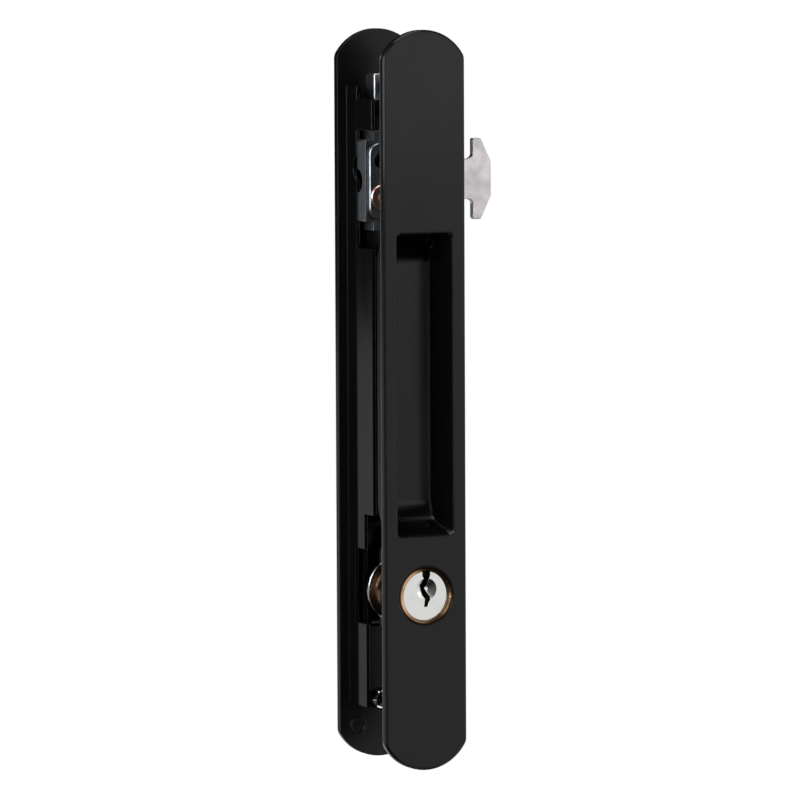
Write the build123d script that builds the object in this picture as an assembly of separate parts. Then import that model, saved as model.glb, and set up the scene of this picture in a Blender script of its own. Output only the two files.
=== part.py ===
from build123d import *
import math
import os

# A flush lock for a sliding door, with a key cylinder outside and a thumb slide inside.
# Two long plates clamp the edge of the door between them. The rear plate carries a channel in
# which a carriage with a double hook slides down to lock and up to unlock. A bar joins the
# carriage to the cam of the cylinder and to the thumb slide.
#
# Millimetres. X runs across the plates towards the closing edge of the door, Y from the keyed
# outer side to the inner side, Z up. The origin is on the centre line of the plates, half-way
# through the door and half-way between the two mounting screws.

# Door and plates
door_thickness = 35.0
plate_length = 250.0
plate_width = 30.0
plate_thickness = 3.0
plate_end_radius = 17.0
plate_corner_radius = 4.0
plate_bevel = 0.4
fitting_bevel = 0.3

# Finger recesses
front_recess_top_drop = 17.0
front_recess_rise = 20.4
rear_recess_top_gap = 5.85
recess_half_width = 10.2
recess_depth = 13.3
recess_wall = 1.3
recess_end_draft = 20.0
recess_side_draft = 2.2
recess_top_round = 7.9
recess_bottom_round = 8.2
recess_corner_round = 1.2

# Mounting posts and screws
mounting_inset = 19.8
post_radius = 3.7
post_root_radius = 2.5
post_root_depth = 5.5
post_boss_wall = 3.0
post_boss_height = 4.0
post_reach = 23.5
post_thread_depth = 16.0
top_collar_width = 7.4
top_collar_length = 9.0
top_collar_height = 5.6
bottom_collar_radius = 3.6
bottom_collar_height = 2.8
bottom_collar_round = 2.2
collar_seat_height = 0.2
collar_seat_rim = 0.3
screw_radius = 2.0
screw_hole_clearance = 0.3
screw_length = 26.0
screw_head_radius = 4.0
screw_head_sink = 0.1

# Key cylinder
cylinder_rise = 39.5
barrel_radius = 9.75
barrel_boss_wall = 2.75
barrel_boss_height = 7.0
plug_radius = 6.5
plug_clearance = 0.05
cap_rim = 1.4
cap_thickness = 2.0
cap_recess = 0.9
key_dish_radius = 3.7
key_dish_depth = 0.5
key_dish_x = 0.6
key_dish_z = 2.2
keyway_width = 4.0
keyway_drop = 3.8
set_screw_radius = 1.5
set_screw_socket = 1.5
end_plate_radius = 11.3
end_plate_thickness = 1.2
end_plate_screw_radius = 1.0
end_plate_screw_head_radius = 1.6
end_plate_screw_head_height = 0.8
end_plate_screw_length = 5.0

# Wafers that the key lifts
wafer_count = 5
wafer_front_land = 3.2
wafer_back_land = 2.5
wafer_thickness = 1.2
wafer_half_width = 3.0
wafer_rim = 0.5
wafer_slot_clearance = 0.1
wafer_window_rise = 3.6
wafer_window_clearance = 0.4
spring_wire = 0.3
spring_radius = 0.4
spring_turns = 2.5

# Cam on the tail of the plug
tail_radius = 3.0
tail_square = 4.0
cam_radius = 7.5
cam_thickness = 2.0
cam_clearance = 1.3
cam_pin_radius = 1.5
cam_pin_reach = 0.6
cam_to_bar_gap = 3.9
cam_turn = 90.0
cam_screw_radius = 1.1
cam_screw_length = 6.0
cam_screw_head_height = 1.4

# Travel of the hook, from unlocked (up) to locked (down)
hook_travel = 5.5
slide_clearance = 0.2

# Channel on the back of the rear plate
channel_half_width = 11.5
channel_wall = 1.2
channel_height = 20.5
channel_lip_height = 8.2
channel_lip_rise = 0.4
channel_top_drop = 3.9
channel_foot_drop = 0.7
channel_step_rise = 26.0
channel_step_height = 13.2
cylinder_gap_rise = 13.9
cylinder_gap_drop = 11.6
cylinder_gap_height = 5.5
channel_foot_height = 14.4
window_gap = 0.5
scallop_radius = 4.2
scallop_lift = 1.4
scallop_rise = 4.2
pin_mark_radius = 3.1
pin_mark_height = 0.15
pin_mark_depth = 0.15
pin_mark_rim = 0.7
pin_mark_x = -8.4
pin_mark_drop = 9.0

# Guides across the channel
guide_thickness = 1.2
guide_inset = 0.9
guide_height = 4.0
guide_corner = 1.5
guide_end_gap = 0.3
middle_guide_gap = 2.9

# Bar that joins the carriage, the cam and the thumb slide
bar_thickness = 1.6
bar_width = 7.0
bar_side_gap = 2.1
bar_guide_gap = 0.4
bar_crank_gap = 1.5
bar_recess_gap = 0.9
bar_neck_length = 4.5
bar_foot_drop = 14.3
bar_foot_side_gap = 0.7
bar_foot_left_reach = 2.7
bar_foot_height = 5.7
bar_corner_radius = 1.2
foot_rail_inset = 1.2
foot_rail_width = 1.4

# Leaf that holds the bar by friction
leaf_thickness = 0.4
leaf_width = 5.0
leaf_half_length = 12.0
leaf_gap = 0.05
leaf_stop = 1.0

# Carriage of the hook
carriage_drop = 31.6
carriage_half_height = 13.85
carriage_side_inset = 0.3
carriage_depth = 7.9
carriage_wall = 1.0
carriage_cover_thickness = 1.3
carriage_cover_inset = 1.0
carriage_cover_bevel = 0.35
carriage_cover_round = 3.8
carriage_keel_half_width = 8.3
carriage_keel_height = 2.8
carriage_rail_height = 5.1
carriage_rail_x = 6.8
carriage_rail_width = 1.6
lug_height = 2.9
side_notch_radius = 4.0
hook_boss_radius = 2.2
hook_boss_inset = 2.9

# Hook
hook_thickness = 2.5
hook_front_gap = 1.9
hook_neck_half_height = 6.85
hook_nose_x = 36.0
hook_nose_half_height = 5.8
hook_tip_x = 32.1
hook_tip_half_height = 13.85
hook_throat_x = 29.3
hook_throat_round = 1.8
hook_edge_round = 0.7
hook_root_gap = 0.2
hook_hole_radius = 2.7
hook_hole_x = -6.0
hook_hole_rise = 7.1
hook_rivet_x = -5.6
hook_rivet_drop = 5.4
hook_rivet_radius = 2.0
hook_rivet_head_radius = 4.3
hook_rivet_head_height = 0.9

# Studs that rivet the bar to the carriage cover
stud_radius = 1.5
stud_shoulder_radius = 2.4
stud_head_radius = 2.2
stud_head_height = 0.8
stud_tail_height = 0.4
stud_spread = 9.0

# Thumb slide on the inner side of the door
thumb_drop = 4.3
thumb_stem_half_width = 2.5
thumb_stem_half_height = 3.8
thumb_half_width = 7.0
thumb_overlap = 1.6
thumb_flange_thickness = 1.3
thumb_grip_height = 3.4
thumb_grip_half_height = 7.5
thumb_grip_foot_half_width = 5.6
thumb_grip_top_half_width = 3.6
thumb_rib_count = 4
thumb_rib_pitch = 2.6
thumb_rib_width = 1.1
thumb_rib_depth = 0.7
thumb_slot_clearance = 0.6
thumb_screw_radius = 1.0
thumb_screw_head_radius = 1.9
thumb_screw_head_height = 0.9
thumb_screw_length = 6.0
thumb_screw_spread = 2.0

# Faces of the two plates, which the other depths are taken from
front_back_y = -door_thickness / 2
front_face_y = front_back_y - plate_thickness
rear_inner_y = door_thickness / 2
rear_face_y = rear_inner_y + plate_thickness
post_z = plate_length / 2 - mounting_inset
post_back_y = front_back_y + post_reach
collar_back_y = rear_inner_y - collar_seat_height
carriage_z = post_z - carriage_drop
cylinder_z = cylinder_rise - post_z
channel_inner = channel_half_width - channel_wall
rim_y = rear_inner_y - channel_height

# Carriage on its rails, with wings in the windows of the channel, and the hook in it
carriage_half_width = channel_half_width - carriage_side_inset
carriage_top_z = carriage_z + carriage_half_height
carriage_bottom_z = carriage_z - carriage_half_height
carriage_back_y = rear_inner_y - carriage_rail_height - slide_clearance
wing_back_y = carriage_back_y - carriage_keel_height
cover_front_y = wing_back_y - carriage_depth
case_front_y = cover_front_y + carriage_cover_thickness
hook_front_y = cover_front_y + hook_front_gap
hook_back_y = hook_front_y + hook_thickness
hook_root_half_width = carriage_half_width - carriage_wall - hook_root_gap
hook_root_half_height = carriage_half_height - carriage_wall - hook_root_gap
window_floor_y = wing_back_y + slide_clearance
window_top_z = carriage_top_z + lug_height + window_gap
window_bottom_z = carriage_bottom_z - lug_height - hook_travel - window_gap
front_recess_top_z = carriage_z - front_recess_top_drop
rear_recess_top_z = window_bottom_z - rear_recess_top_gap

# Guides and bar, stacked from the rim of the channel inwards
guide_front_y = rim_y + guide_inset
bar_front_y = guide_front_y + guide_thickness + bar_guide_gap
bar_back_y = bar_front_y + bar_thickness
foot_back_y = rear_inner_y - bar_foot_height
foot_front_y = foot_back_y - bar_thickness
foot_half_width = channel_inner - bar_foot_side_gap
foot_rail_x = foot_half_width - foot_rail_inset - foot_rail_width / 2
top_guide_z = window_top_z + guide_end_gap + guide_height / 2
middle_guide_z = window_bottom_z - middle_guide_gap - guide_height / 2
bottom_guide_z = cylinder_z + channel_step_rise + guide_end_gap + guide_height / 2
bar_right = channel_inner - bar_side_gap
bar_left = bar_right - bar_width
bar_x = (bar_left + bar_right) / 2
bar_top_z = top_guide_z + guide_height / 2 + hook_travel
bar_crank_z = cylinder_z + end_plate_radius + bar_crank_gap + hook_travel + bar_thickness
foot_top_z = bar_crank_z - bar_thickness - bar_neck_length
foot_bottom_z = cylinder_z - bar_foot_drop
rear_recess_bottom_z = bar_crank_z + bar_recess_gap + recess_wall
front_recess_bottom_z = cylinder_z + front_recess_rise

# Thumb slide, with a flange that covers its slot over the whole travel
thumb_z = cylinder_z - thumb_drop
thumb_flange_y = rear_face_y + slide_clearance
thumb_half_height = thumb_stem_half_height + thumb_slot_clearance + hook_travel + thumb_overlap

# Cylinder, from the front face to the cam
cap_radius = barrel_radius - cap_rim
cap_front_y = front_face_y + cap_recess
cap_back_y = cap_front_y + cap_thickness
cam_back_y = foot_front_y - cam_to_bar_gap
cam_front_y = cam_back_y - cam_thickness
end_plate_back_y = cam_front_y - cam_clearance
barrel_back_y = end_plate_back_y - end_plate_thickness
cam_pin_orbit = hook_travel / (2 * math.sin(math.radians(cam_turn / 2)))
cam_pin_x = cam_pin_orbit * math.cos(math.radians(cam_turn / 2))
cam_pin_z = cylinder_z + hook_travel / 2
cam_screw_head_radius = cam_pin_orbit - cam_pin_radius - slide_clearance
wafer_half_height = math.sqrt((plug_radius - wafer_rim) ** 2 - wafer_half_width**2)
wafer_room = barrel_back_y - cap_back_y - wafer_front_land - wafer_back_land - wafer_thickness
wafer_pitch = wafer_room / (wafer_count - 1)
spring_height = wafer_half_height * 3 / 4


def slab(outline, y_front, y_back):
    """Extrude an outline drawn in X and Z so that it fills the depth between two Y values."""
    plane = Plane(origin=(0, y_back, 0), x_dir=(1, 0, 0), z_dir=(0, -1, 0))
    return extrude(plane * outline, amount=y_back - y_front)


def disc(x, z, radius, y_front, y_back):
    """Round pin along Y."""
    return slab(Pos(x, z) * Circle(radius), y_front, y_back)


def block(x_low, x_high, z_low, z_high, y_front, y_back):
    """Rectangular block between six faces."""
    centre = Pos((x_low + x_high) / 2, (z_low + z_high) / 2)
    return slab(centre * Rectangle(x_high - x_low, z_high - z_low), y_front, y_back)


def cone_along_y(x, z, y_small, y_large, small_radius, large_radius):
    """Cone along Y between two depths, in either direction."""
    length = abs(y_large - y_small)
    cone = Cone(small_radius, large_radius, length, align=(Align.CENTER, Align.CENTER, Align.MIN))
    turn = -90 if y_large > y_small else 90
    return Pos(x, y_small, z) * Rot(turn, 0, 0) * cone


def side_profile(points, x_low, x_high):
    """Extrude an outline given as (Y, Z) points between two X values."""
    face = make_face(Polyline(*points, close=True))
    plane = Plane(origin=(x_low, 0, 0), x_dir=(0, 1, 0), z_dir=(1, 0, 0))
    return extrude(plane * face, amount=x_high - x_low)


def edges_at_y(shape, y):
    """Edges that lie in one plane across Y."""
    return shape.edges().filter_by_position(Axis.Y, y - 0.001, y + 0.001)


def plate_outline():
    """Long plate with flat-arched ends and softened corners."""
    half_width = plate_width / 2
    sagitta = plate_end_radius - math.sqrt(plate_end_radius**2 - half_width**2)
    shoulder_z = plate_length / 2 - sagitta
    outline = [
        Line((half_width, -shoulder_z), (half_width, shoulder_z)),
        ThreePointArc((half_width, shoulder_z), (0, plate_length / 2), (-half_width, shoulder_z)),
        Line((-half_width, shoulder_z), (-half_width, -shoulder_z)),
        ThreePointArc((-half_width, -shoulder_z), (0, -plate_length / 2), (half_width, -shoulder_z)),
    ]
    face = make_face(outline)
    return fillet(face.vertices(), plate_corner_radius)


def recess_form(z_low, z_high, wall):
    """Hollow of a finger recess, grown by a wall, with its mouth at Y 0 and its floor towards +Y."""
    depth = recess_depth + wall
    run = math.tan(math.radians(recess_end_draft)) * depth
    low = z_low - wall
    high = z_high + wall
    ends = make_face(
        Polyline((0, low), (0, high), (depth, high - run), (depth, low + run), close=True)
    )
    floor_top = ends.vertices().group_by(Axis.X)[-1].sort_by(Axis.Y)[-1]
    ends = fillet(floor_top, recess_top_round + wall)
    floor_bottom = ends.vertices().group_by(Axis.X)[-1].sort_by(Axis.Y)[0]
    ends = fillet(floor_bottom, recess_bottom_round + wall)
    half_width = recess_half_width + wall
    along_x = Plane(origin=(-half_width - 1, 0, 0), x_dir=(0, 1, 0), z_dir=(1, 0, 0))
    lengthwise = extrude(along_x * ends, amount=2 * half_width + 2)
    sides = make_face(
        Polyline(
            (-half_width, 0),
            (half_width, 0),
            (half_width - recess_side_draft, depth),
            (-half_width, depth),
            close=True,
        )
    )
    crosswise = Pos(0, 0, low - 1) * extrude(sides, amount=high - low + 2)
    form = lengthwise & crosswise
    corners = [
        edge
        for edge in form.edges().filter_by(GeomType.LINE)
        if edge.bounding_box().min.Y < 0.001 and edge.bounding_box().max.Y > depth / 4
    ]
    return fillet(corners, recess_corner_round)


def set_screw_body():
    """Grub screw below the cylinder, without its socket."""
    outer_z = cylinder_z - barrel_radius - barrel_boss_wall
    middle_y = front_back_y + barrel_boss_height / 2
    screw = Cylinder(
        set_screw_radius, barrel_boss_wall, align=(Align.CENTER, Align.CENTER, Align.MIN)
    )
    return Pos(0, middle_y, outer_z) * screw


def front_plate():
    """Outer plate, cast with its finger recess and the bosses for the posts and the cylinder."""
    plate = slab(plate_outline(), front_face_y, front_back_y)
    plate = chamfer(edges_at_y(plate, front_face_y), plate_bevel)
    to_mouth = Pos(0, front_face_y, 0)
    cup = to_mouth * recess_form(front_recess_bottom_z, front_recess_top_z, recess_wall)
    behind = block(-plate_width, plate_width, -plate_length, plate_length, front_back_y, rear_face_y)
    plate += cup & behind
    plate -= to_mouth * recess_form(front_recess_bottom_z, front_recess_top_z, 0)
    boss_back_y = front_back_y + barrel_boss_height
    boss_radius = barrel_radius + barrel_boss_wall
    plate += disc(0, cylinder_z, boss_radius, front_back_y, boss_back_y)
    plate -= disc(0, cylinder_z, barrel_radius, front_face_y, boss_back_y)
    post_boss_back_y = front_back_y + post_boss_height
    for side in (-1, 1):
        z = side * post_z
        plate += disc(0, z, post_root_radius + post_boss_wall, front_back_y, post_boss_back_y)
        plate -= disc(0, z, post_root_radius, post_boss_back_y - post_root_depth, post_boss_back_y)
    plate -= set_screw_body()
    inner_edges = [
        edge
        for edge in edges_at_y(plate, front_face_y)
        if abs(edge.center().X) < plate_width / 2 - 1 and abs(edge.center().Z) < post_z
    ]
    return chamfer(inner_edges, fitting_bevel)


def channel_side(x_low, x_high):
    """One wall of the channel, with its window for the carriage and its gap for the cylinder."""

    def at(height):
        return rear_inner_y - height

    lip_z = post_z + channel_lip_rise
    top_z = post_z - channel_top_drop
    step_z = cylinder_z + channel_step_rise
    gap_top_z = cylinder_z + cylinder_gap_rise
    gap_bottom_z = cylinder_z - cylinder_gap_drop
    bottom_z = -post_z - channel_foot_drop
    steps = [
        (at(0), lip_z),
        (at(channel_lip_height), lip_z),
        (at(channel_lip_height), top_z),
        (rim_y, top_z),
        (rim_y, window_top_z),
        (window_floor_y, window_top_z),
        (window_floor_y, window_bottom_z),
        (rim_y, window_bottom_z),
        (rim_y, step_z),
        (at(channel_step_height), step_z),
        (at(channel_step_height), gap_top_z),
        (at(cylinder_gap_height), gap_top_z),
        (at(cylinder_gap_height), gap_bottom_z),
        (at(channel_foot_height), gap_bottom_z),
        (at(channel_foot_height), bottom_z),
        (at(0), bottom_z),
    ]
    wall = side_profile(steps, x_low, x_high)
    scallop = Rot(0, 90, 0) * Cylinder(scallop_radius, 4 * channel_half_width)
    return wall - Pos(0, window_floor_y - scallop_lift, carriage_z + scallop_rise) * scallop


def rear_plate():
    """Inner plate, cast with its own finger recess and the channel of the mechanism."""
    plate = slab(plate_outline(), rear_inner_y, rear_face_y)
    plate = chamfer(edges_at_y(plate, rear_face_y), plate_bevel)
    turned = Pos(0, rear_face_y, 0) * Rot(0, 0, 180)
    cup = turned * recess_form(rear_recess_bottom_z, rear_recess_top_z, recess_wall)
    before = block(-plate_width, plate_width, -plate_length, plate_length, front_face_y, rear_inner_y)
    plate += cup & before
    plate += channel_side(-channel_half_width, -channel_inner)
    plate += channel_side(channel_inner, channel_half_width)
    plate -= turned * recess_form(rear_recess_bottom_z, rear_recess_top_z, 0)
    for side in (-1, 1):
        rail_x = side * carriage_rail_x
        plate += block(
            rail_x - carriage_rail_width / 2,
            rail_x + carriage_rail_width / 2,
            rear_recess_top_z + recess_wall,
            post_z - channel_top_drop,
            rear_inner_y - carriage_rail_height,
            rear_inner_y,
        )
        foot_x = side * foot_rail_x
        plate += block(
            foot_x - foot_rail_width / 2,
            foot_x + foot_rail_width / 2,
            foot_bottom_z - hook_travel - slide_clearance,
            foot_top_z + slide_clearance,
            foot_back_y + slide_clearance,
            rear_inner_y,
        )
        stop_z = side * (leaf_half_length + slide_clearance + leaf_stop / 2)
        plate += block(
            channel_inner - bar_side_gap / 2,
            channel_inner,
            stop_z - leaf_stop / 2,
            stop_z + leaf_stop / 2,
            bar_front_y - leaf_width / 4,
            bar_front_y + leaf_width * 3 / 4,
        )
        z = side * post_z
        plate += slab(collar_outline(side, collar_seat_rim), collar_back_y, rear_inner_y)
        plate -= disc(0, z, screw_radius + screw_hole_clearance, collar_back_y, rear_face_y)
        mouth_radius = screw_head_radius + screw_head_sink
        plate -= cone_along_y(0, z, rear_face_y - mouth_radius, rear_face_y, 0, mouth_radius)
    slot_top = thumb_z + thumb_stem_half_height + thumb_slot_clearance
    slot_bottom = thumb_z - thumb_stem_half_height - hook_travel - thumb_slot_clearance
    slot_half_width = thumb_stem_half_width + thumb_slot_clearance
    plate -= block(-slot_half_width, slot_half_width, slot_bottom, slot_top, rear_inner_y, rear_face_y)
    mark_z = -post_z - pin_mark_drop
    mark_rim_y = rear_inner_y - pin_mark_height
    mark_floor_y = rear_inner_y + pin_mark_depth
    plate += disc(pin_mark_x, mark_z, pin_mark_radius, mark_rim_y, rear_inner_y)
    plate -= disc(pin_mark_x, mark_z, pin_mark_radius - pin_mark_rim, mark_rim_y, mark_floor_y)
    mouth = [
        edge
        for edge in edges_at_y(plate, rear_face_y)
        if abs(edge.center().X) < plate_width / 2 - 1
        and rear_recess_bottom_z - 2 < edge.center().Z < rear_recess_top_z + 2
    ]
    return chamfer(mouth, fitting_bevel)


def cylinder_barrel():
    """Brass barrel, bored for the plug and counterbored for its cap."""
    barrel = disc(0, cylinder_z, barrel_radius, front_face_y, barrel_back_y)
    barrel -= disc(0, cylinder_z, plug_radius + plug_clearance, front_face_y, barrel_back_y)
    barrel -= disc(0, cylinder_z, cap_radius + plug_clearance, front_face_y, cap_back_y)
    for side in (-1, 1):
        barrel -= end_plate_screw_shank(side)
    return barrel


def end_plate_screw_x():
    """Offset of the end plate's screws, in the middle of the barrel's wall."""
    return (plug_radius + barrel_radius) / 2


def end_plate_screw_shank(side):
    return disc(
        side * end_plate_screw_x(),
        cylinder_z,
        end_plate_screw_radius,
        end_plate_back_y - end_plate_screw_length,
        end_plate_back_y,
    )


def end_plate_screw(side):
    """Small screw that holds the end plate to the barrel."""
    head_back_y = end_plate_back_y + end_plate_screw_head_height
    x = side * end_plate_screw_x()
    head = disc(x, cylinder_z, end_plate_screw_head_radius, end_plate_back_y, head_back_y)
    head = chamfer(edges_at_y(head, head_back_y), end_plate_screw_head_height / 3)
    slot = block(
        x - 2 * end_plate_screw_head_radius,
        x + 2 * end_plate_screw_head_radius,
        cylinder_z - end_plate_screw_radius / 5,
        cylinder_z + end_plate_screw_radius / 5,
        head_back_y - end_plate_screw_head_height / 3,
        head_back_y,
    )
    return end_plate_screw_shank(side) + head - slot


def cylinder_end_plate():
    """Bright disc that closes the back of the barrel round the tail of the plug."""
    plate = disc(0, cylinder_z, end_plate_radius, barrel_back_y, end_plate_back_y)
    plate -= disc(0, cylinder_z, tail_radius + plug_clearance, barrel_back_y, end_plate_back_y)
    for side in (-1, 1):
        plate -= end_plate_screw_shank(side)
    return plate


def key_slot_outline():
    """Warded outline of the keyway, open towards the top of the plug."""
    mouth = cap_radius / keyway_drop + 0.1
    wards = [
        (-0.23, mouth),
        (-0.23, 1.74),
        (-0.11, 1.58),
        (-0.30, 1.21),
        (-0.50, 1.00),
        (-0.38, 0.42),
        (-0.25, 0.05),
        (0.00, -0.26),
        (-0.08, -1.00),
        (0.25, -1.00),
        (0.33, -0.63),
        (0.48, -0.42),
        (0.48, -0.11),
        (0.25, 0.21),
        (-0.03, 0.68),
        (0.25, 0.95),
        (0.33, 1.39),
        (0.50, 1.74),
        (0.50, mouth),
    ]
    points = [(x * keyway_width, z * keyway_drop) for x, z in wards]
    return Pos(0, cylinder_z) * make_face(Polyline(*points, close=True))


def plug_cap():
    """Plated face of the plug, dished round the keyway to guide the key."""
    cap = disc(0, cylinder_z, cap_radius, cap_front_y, cap_back_y)
    dish_z = cylinder_z + key_dish_z
    cap -= cone_along_y(
        key_dish_x, dish_z, cap_front_y + key_dish_depth, cap_front_y, key_dish_radius / 5, key_dish_radius
    )
    cap -= slab(key_slot_outline(), cap_front_y, cap_back_y)
    return cap


def wafer_front_y(index):
    return cap_back_y + wafer_front_land + index * wafer_pitch


def wafer_outline(clearance):
    """Outline of a wafer, or of its slot with a clearance."""
    width = 2 * (wafer_half_width + clearance)
    height = 2 * (wafer_half_height + clearance)
    return Pos(0, cylinder_z) * Rectangle(width, height)


def spring_pocket(index):
    """Room for the spring beside each wafer."""
    y_front = wafer_front_y(index)
    middle_x = wafer_half_width
    reach = spring_radius + spring_wire
    return block(
        middle_x - reach,
        middle_x + reach,
        cylinder_z - spring_height / 2,
        cylinder_z + spring_height / 2,
        y_front,
        y_front + wafer_thickness,
    )


def wafer(index):
    """Flat tumbler with a window for the key and a notch that its spring pushes on."""
    y_front = wafer_front_y(index)
    y_back = y_front + wafer_thickness
    window_reach = keyway_width / 2 + wafer_window_clearance / 2
    plate = slab(wafer_outline(0), y_front, y_back)
    plate -= block(
        -window_reach,
        window_reach,
        cylinder_z - keyway_drop - wafer_window_clearance,
        cylinder_z + wafer_window_rise,
        y_front,
        y_back,
    )
    return plate - spring_pocket(index)


def wafer_spring(index):
    """Small coil spring beside a wafer, of square wire."""
    rise = spring_height - 2 * spring_wire
    path = Helix(rise / spring_turns, rise, spring_radius)
    section = Plane(path @ 0, z_dir=path % 0) * Rectangle(spring_wire, spring_wire)
    middle_y = wafer_front_y(index) + wafer_thickness / 2
    return Pos(wafer_half_width, middle_y, cylinder_z - rise / 2) * sweep(section, path)


def cylinder_plug():
    """Brass plug that the key turns, with slots for the wafers and a square tail for the cam."""
    plug = disc(0, cylinder_z, plug_radius, cap_back_y, barrel_back_y)
    plug -= slab(key_slot_outline(), cap_back_y, barrel_back_y - wafer_back_land / 2)
    for index in range(wafer_count):
        y_front = wafer_front_y(index)
        y_slot = y_front + wafer_thickness
        plug -= slab(wafer_outline(wafer_slot_clearance), y_front, y_slot)
        plug -= spring_pocket(index)
    plug += disc(0, cylinder_z, tail_radius, barrel_back_y, end_plate_back_y)
    square = Pos(0, cylinder_z) * Rectangle(tail_square, tail_square)
    plug += slab(square, end_plate_back_y, cam_back_y)
    return plug - cam_screw_shank()


def cam_screw_shank():
    return disc(0, cylinder_z, cam_screw_radius, cam_back_y - cam_screw_length, cam_back_y)


def cam():
    """Round cam with the pin that moves the bar."""
    body = disc(0, cylinder_z, cam_radius, cam_front_y, cam_back_y)
    body -= slab(Pos(0, cylinder_z) * Rectangle(tail_square, tail_square), cam_front_y, cam_back_y)
    pin_back_y = foot_back_y + cam_pin_reach
    return body + disc(cam_pin_x, cam_pin_z, cam_pin_radius, cam_back_y, pin_back_y)


def cam_screw():
    """Screw that holds the cam on the tail."""
    head_back_y = cam_back_y + cam_screw_head_height
    head = disc(0, cylinder_z, cam_screw_head_radius, cam_back_y, head_back_y)
    head = chamfer(edges_at_y(head, head_back_y), cam_screw_head_height / 3)
    return cam_screw_shank() + head - cross_recess(0, cylinder_z, head_back_y, cam_screw_head_radius, -1)


def cross_recess(x, z, y_open, head_radius, inward):
    """Cross-shaped driver recess in a screw head."""
    depth = head_radius * 0.4
    y_deep = y_open + inward * depth
    y_low = min(y_open, y_deep)
    y_high = max(y_open, y_deep)
    arm = head_radius * 0.55
    web = head_radius * 0.14
    return block(x - arm, x + arm, z - web, z + web, y_low, y_high) + block(
        x - web, x + web, z - arm, z + arm, y_low, y_high
    )


def cylinder_set_screw():
    """Grub screw that keeps the cylinder from turning out of its boss."""
    screw = set_screw_body()
    outer_z = cylinder_z - barrel_radius - barrel_boss_wall
    middle_y = front_back_y + barrel_boss_height / 2
    socket_hexagon = Plane.XY.offset(outer_z) * Pos(0, middle_y) * RegularPolygon(
        set_screw_socket / 2, 6, major_radius=False
    )
    return screw - extrude(socket_hexagon, amount=barrel_boss_wall / 2)


def mounting_post(side):
    """Threaded post on the back of the front plate."""
    z = side * post_z
    boss_back_y = front_back_y + post_boss_height
    post = disc(0, z, post_radius, boss_back_y, post_back_y)
    post = chamfer(edges_at_y(post, post_back_y), fitting_bevel)
    post += disc(0, z, post_root_radius, boss_back_y - post_root_depth, boss_back_y)
    return post - disc(0, z, screw_radius, post_back_y - post_thread_depth, post_back_y)


def collar_outline(side, rim):
    """Outline of a screw collar, grown by a rim: square at the top, round at the bottom."""
    if side > 0:
        width = top_collar_width + 2 * rim
        length = top_collar_length + 2 * rim
        return Pos(0, post_z) * RectangleRounded(width, length, 2 * fitting_bevel + rim)
    return Pos(0, -post_z) * Circle(bottom_collar_radius + rim)


def screw_collar(side):
    """Bright collar round a mounting screw on the inner plate, domed at the bottom."""
    height = top_collar_height if side > 0 else bottom_collar_height
    front_y = rear_inner_y - height
    collar = slab(collar_outline(side, 0), front_y, collar_back_y)
    if side > 0:
        collar = chamfer(edges_at_y(collar, front_y), fitting_bevel)
    else:
        collar = fillet(edges_at_y(collar, front_y), bottom_collar_round)
    return collar - disc(0, side * post_z, screw_radius + screw_hole_clearance, front_y, collar_back_y)


def mounting_screw(side):
    """Countersunk screw from the inner side of the door, through its collar into a post."""
    z = side * post_z
    head_y = rear_face_y - screw_head_sink
    shank = disc(0, z, screw_radius, head_y - screw_length, head_y)
    cone_y = head_y - (screw_head_radius - screw_radius)
    head = cone_along_y(0, z, cone_y, head_y, screw_radius, screw_head_radius)
    return shank + head - cross_recess(0, z, head_y, screw_head_radius, -1)


def bar_guide(z):
    """Strap across the channel that keeps the bar in it."""
    strap = RectangleRounded(2 * channel_inner, guide_height, guide_corner)
    return slab(Pos(0, z) * strap, guide_front_y, guide_front_y + guide_thickness)


def friction_leaf():
    """Bowed leaf between the channel wall and the edge of the bar."""
    edge_x = bar_right + leaf_gap
    inner_end = channel_inner - leaf_thickness
    outline = make_face(
        [
            ThreePointArc((inner_end, -leaf_half_length), (edge_x, 0), (inner_end, leaf_half_length)),
            Line((inner_end, leaf_half_length), (channel_inner, leaf_half_length)),
            ThreePointArc(
                (channel_inner, leaf_half_length),
                (edge_x + leaf_thickness, 0),
                (channel_inner, -leaf_half_length),
            ),
            Line((channel_inner, -leaf_half_length), (inner_end, -leaf_half_length)),
        ]
    )
    return slab(outline, bar_front_y - leaf_width / 4, bar_front_y + leaf_width * 3 / 4)


def slide_bar():
    """Cranked bar from the carriage, over the inner recess, to the cam and the thumb slide."""
    crank_bottom_z = bar_crank_z - bar_thickness
    bar = block(bar_left, bar_right, crank_bottom_z, bar_top_z, bar_front_y, bar_back_y)
    bar = fillet(bar.edges().filter_by(Axis.Y).group_by(Axis.Z)[-1], bar_corner_radius)
    bar += block(bar_left, bar_right, crank_bottom_z, bar_crank_z, bar_front_y, foot_back_y)
    bar += block(bar_left, bar_right, foot_top_z, bar_crank_z, foot_front_y, foot_back_y)
    foot_width = foot_half_width + bar_foot_left_reach
    foot = RectangleRounded(foot_width, foot_top_z - foot_bottom_z, bar_corner_radius)
    foot_x = foot_half_width - foot_width / 2
    bar += slab(Pos(foot_x, (foot_top_z + foot_bottom_z) / 2) * foot, foot_front_y, foot_back_y)
    bar -= cam_slot()
    for z in stud_places():
        bar -= disc(bar_x, z, stud_radius, bar_front_y, bar_back_y)
    for side in (-1, 1):
        bar -= thumb_screw_shank(side)
    return bar


def stud_places():
    """Heights of the lower and the upper stud."""
    return carriage_z - stud_spread, carriage_z + stud_spread


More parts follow.
